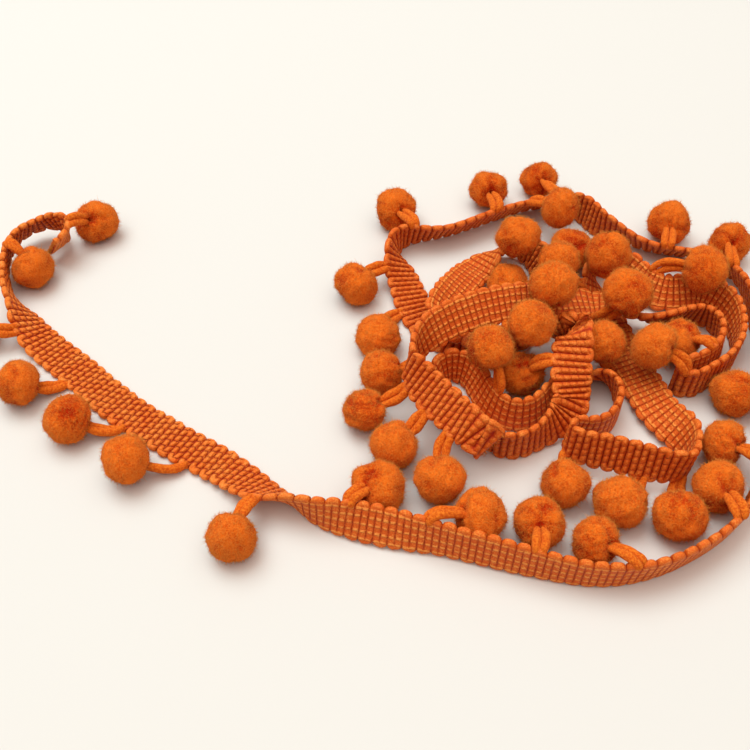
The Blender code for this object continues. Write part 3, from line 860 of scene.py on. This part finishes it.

# %% [markdown]
# The braid's yarn is a slightly glossy orange. On the front each rib is broken by chain stitches into
# plump, slanting lumps, and on the back the same yarns make small squares with short raised stitches
# along the columns, painted pale as a highlight. Both patterns read the marks left on the braid, so they
# follow every twist. First the stray grain shakes every edge a little, so that no stitch is ruled.

# %% Where the stitches run
STRAY_GRAIN = 420
STRAY_RIB = 0.10
STRAY_ACROSS = 0.5
INSIDE_FROM = 4.1
INSIDE_TO = 4.8
braid_yarn = Finish("orange braid yarn", Roughness=0.6, Sheen_Weight=0.08, Sheen_Roughness=0.5)
braid_yarn.shader.inputs["Sheen Tint"].default_value = (1.0, 0.4, 0.12, 1.0)
braid_yarn.shader.inputs["Specular IOR Level"].default_value = 0.2
rib_mark = braid_yarn.mark("rib")
front = braid_yarn.mark("front")
lumps_and_light = braid_yarn.mark("lumps_and_light")
stray = braid_yarn.grain(STRAY_GRAIN, 1.0) - 0.5
across = braid_yarn.mark("across") + stray * STRAY_ACROSS
rib_arch = 1 - (1 - (rib_mark + stray * STRAY_RIB).wave()) * (1 - braid_yarn.mark("joined"))
slant = rib_mark.maths("FRACT") - 0.5
chain = (across * (1 / CHAIN_WIDTH) + braid_yarn.mark("phase") + slant * CHAIN_SLANT).wave()
column = (across * (1 / COLUMN_WIDTH)).wave()
inside = 1 - across.maths("ABSOLUTE").between(INSIDE_FROM, INSIDE_TO)
print("nodes for the stitches:", len(braid_yarn.tree.nodes))

# %% [markdown]
# The yarn gets a painted highlight where it stands high and where light catches a fibre, and a painted
# shade of deep red in the grooves. Away from the loose left run the braid is painted darker and redder
# all over, as painted shade for the heap. Height drives both the painted light and shade and a small
# bump.

# %% Braid yarn
YARN_DARK = (0.40, 0.016, 0.001, 1.0)
YARN_MID = (0.80, 0.140, 0.008, 1.0)
YARN_LIGHT = (0.97, 0.34, 0.060, 1.0)
YARN_RELIEF = 0.0008
SPECKLE_GRAIN = 3000
PATCH_GRAIN = 260
CHAIN_SHADE = 0.95
STITCH_LIFT = 0.35
BACK_TONE = 0.80
BACK_DIM = 0.25
LEAST_TONE = 0.08
LEAST_SHADE = 0.5
# high is the yarn's height: it paints shade into the grooves, the chain dips and the back's middle, and
# a highlight onto crests and raised stitches.
chain_dip = (1 - chain ** 0.6) * inside * lumps_and_light * CHAIN_SHADE
front_high = (rib_arch ** 0.7) * (1 - chain_dip)
stitch = (1 - column).between(0.35, 0.75) * rib_arch.between(0.2, 0.7) * inside
back_high = (rib_arch ** 0.35) * (BACK_TONE - BACK_DIM * inside) + stitch * STITCH_LIFT + LEAST_TONE
high = front * front_high + (1 - front) * back_high
speckle = braid_yarn.grain(SPECKLE_GRAIN, 2.0, 0.6)
patch = braid_yarn.grain(PATCH_GRAIN, 2.0)
shade = (high * 0.9 + speckle * 0.3 - 0.12).between(0.08, 0.72)
# Away from the loose run the yarn is painted darker, as painted shade for the heap.
shade = shade * (lumps_and_light * (1 - LEAST_SHADE) + LEAST_SHADE)
colour = braid_yarn.blend(shade, YARN_DARK, YARN_MID)
# Painted highlight on the raised back stitches.
stitch_highlight = stitch * (1 - front) * 0.25
caught_light = speckle * 1.1 + patch * 0.4 + high * 0.25 + stitch_highlight + lumps_and_light * 0.2 - 0.7
braid_yarn.colour(braid_yarn.blend(caught_light.between(0.25, 0.8), colour, YARN_LIGHT))
braid_yarn.relief(high * 0.8 + speckle * 0.3, YARN_RELIEF)
braid.data.materials.append(braid_yarn.material)
print("braid yarn nodes:", len(braid_yarn.tree.nodes))

# %% [markdown]
# Felt has no gloss at all, only a soft glow where fibres catch the light at its rim. Its colour is
# mottled, the loose fibres are painted lighter as a highlight, and the dents, folds and underside get a
# painted shade of deeper red-orange. The braid's own fuzz takes this finish too.

# %% Felt
FELT_DEEP = (0.46, 0.020, 0.001, 1.0)
FELT_MID = (0.84, 0.155, 0.009, 1.0)
FELT_LIGHT = (0.97, 0.37, 0.065, 1.0)
FELT_RELIEF = 0.0006
CLUMP_GRAIN = 420
STRAND_GRAIN = 2400
felt = Finish("orange wool felt", Roughness=0.95, Sheen_Weight=0.25, Sheen_Roughness=0.4)
felt.shader.inputs["Sheen Tint"].default_value = WARM_SHEEN
felt.shader.inputs["Specular IOR Level"].default_value = 0.06
fuzz = felt.mark("fuzz")
painted_shade = felt.mark("painted_shade")
clumps = felt.grain(CLUMP_GRAIN, 4.0, 0.6)
strands = felt.grain(STRAND_GRAIN, 3.0, 0.7)
# Painted shade darkens the dents, folds and underside under the random mottling.
body = (clumps * 0.7 + strands * 0.7 - painted_shade * 0.5).between(0.28, 0.8)
colour = felt.blend(body, FELT_DEEP, FELT_MID)
# The loose fibres get a painted highlight, strongest at their tips.
lit = (fuzz * 0.6 + strands * 0.9 - painted_shade * 0.2).between(0.35, 0.95)
felt.colour(felt.blend(lit, colour, FELT_LIGHT))
felt.relief(strands * 0.7 + clumps * 0.5, FELT_RELIEF)
fuzz_piece.data.materials.append(felt.material)
print("felt nodes:", len(felt.tree.nodes))

# %% [markdown]
# The tie is a soft wool yarn, not felted, so it is a little brighter and smoother than the
# balls, and only one grain mottles it.

# %% Tie wool
TIE_DEEP = (0.62, 0.075, 0.004, 1.0)
TIE_LIGHT = (0.93, 0.235, 0.020, 1.0)
TIE_RELIEF = 0.0005
TIE_GRAIN = 1900
tie_wool = Finish("orange tie wool", Roughness=0.9, Sheen_Weight=0.2, Sheen_Roughness=0.45)
tie_wool.shader.inputs["Sheen Tint"].default_value = WARM_SHEEN
tie_wool.shader.inputs["Specular IOR Level"].default_value = 0.1
strands = tie_wool.grain(TIE_GRAIN, 3.0, 0.7)
tie_wool.colour(tie_wool.blend(strands.between(0.3, 0.7), TIE_DEEP, TIE_LIGHT))
tie_wool.relief(strands, TIE_RELIEF)
for pompom in pompoms:
    pompom.data.materials.append(felt.material)
    pompom.data.materials.append(tie_wool.material)
    pompom.data.update()
print("pieces with a finish:", len(pompoms) + 2)

# %% [markdown]
# The trim lies on a plain warm white floor. A plane much larger than the trim, without a
# backdrop, is enough, because the camera looks down and never sees its far edge.

# %% Floor
FLOOR_SIDE = 6.0
FLOOR_COLOUR = (0.702, 0.700, 0.665, 1.0)
bpy.ops.object.select_all(action="DESELECT")
bpy.ops.mesh.primitive_plane_add(size=FLOOR_SIDE, location=(0, 0, 0))
floor = bpy.context.active_object
floor.name = "floor"
paper = Finish("warm white floor", Roughness=0.9)
paper.colour(FLOOR_COLOUR)
floor.data.materials.append(paper.material)
print("floor side in m:", FLOOR_SIDE)

# %% [markdown]
# A broad cool light stands high behind the trim and to its left, so the shadows are soft and
# fall a little forward and to the right. A wide warm ceiling and a dim warm room fill them,
# so the shadows are warmer than the floor.

# %% Light
ROOM_COLOUR = (1.0, 0.860, 0.780, 1.0)
ROOM_STRENGTH = 0.45
KEY_SPOT = (-0.40, 0.40, 1.38)
KEY_SIZE = 1.05
KEY_POWER = 14.1
KEY_COLOUR = (0.80, 0.96, 1.0)
CEILING_SPOT = (0.0, 0.0, 1.6)
CEILING_SIZE = 2.4
CEILING_POWER = 23.5
CEILING_COLOUR = (1.0, 0.86, 0.78)
world = bpy.context.scene.world or bpy.data.worlds.new("soft room")
bpy.context.scene.world = world
world.use_nodes = True
sky = world.node_tree.nodes["Background"]
sky.inputs["Color"].default_value = ROOM_COLOUR
sky.inputs["Strength"].default_value = ROOM_STRENGTH


def soft_light(name, spot, size, power, tint):
    """A square area light that looks at the middle of the floor."""
    middle = Vector((0, 0, 0))
    lamp = bpy.data.lights.new(name, "AREA")
    lamp.shape = "SQUARE"
    lamp.size = size
    lamp.energy = power
    lamp.color = tint
    holder = bpy.data.objects.new(name, lamp)
    holder.location = spot
    holder.rotation_euler = (middle - Vector(spot)).to_track_quat("-Z", "Y").to_euler()
    bpy.context.scene.collection.objects.link(holder)
    return holder


key = soft_light("overhead light", KEY_SPOT, KEY_SIZE, KEY_POWER, KEY_COLOUR)
ceiling = soft_light("ceiling", CEILING_SPOT, CEILING_SIZE, CEILING_POWER, CEILING_COLOUR)
print("lights in W:", key.data.energy, ceiling.data.energy)

# %% [markdown]
# The camera looks down at fifty degrees from close by, so near balls look larger than far
# ones, as they do to someone bending over a table.

# %% Camera
LENS = 45.0
CAMERA_SPOT = (0.0, -156.2, 186.1)
CAMERA_TILT = 40.0
NEAREST_SEEN = 0.01
lens = bpy.data.cameras.new("photo camera")
lens.lens = LENS
lens.clip_start = NEAREST_SEEN
camera = bpy.data.objects.new("photo camera", lens)
camera.location = ((np.array(CAMERA_SPOT) + shift) * MM).tolist()
camera.rotation_euler = (math.radians(CAMERA_TILT), 0.0, 0.0)
bpy.context.scene.collection.objects.link(camera)
bpy.context.scene.camera = camera
bpy.context.scene.view_settings.view_transform = "Standard"
print("camera at", [round(c, 4) for c in camera.location])
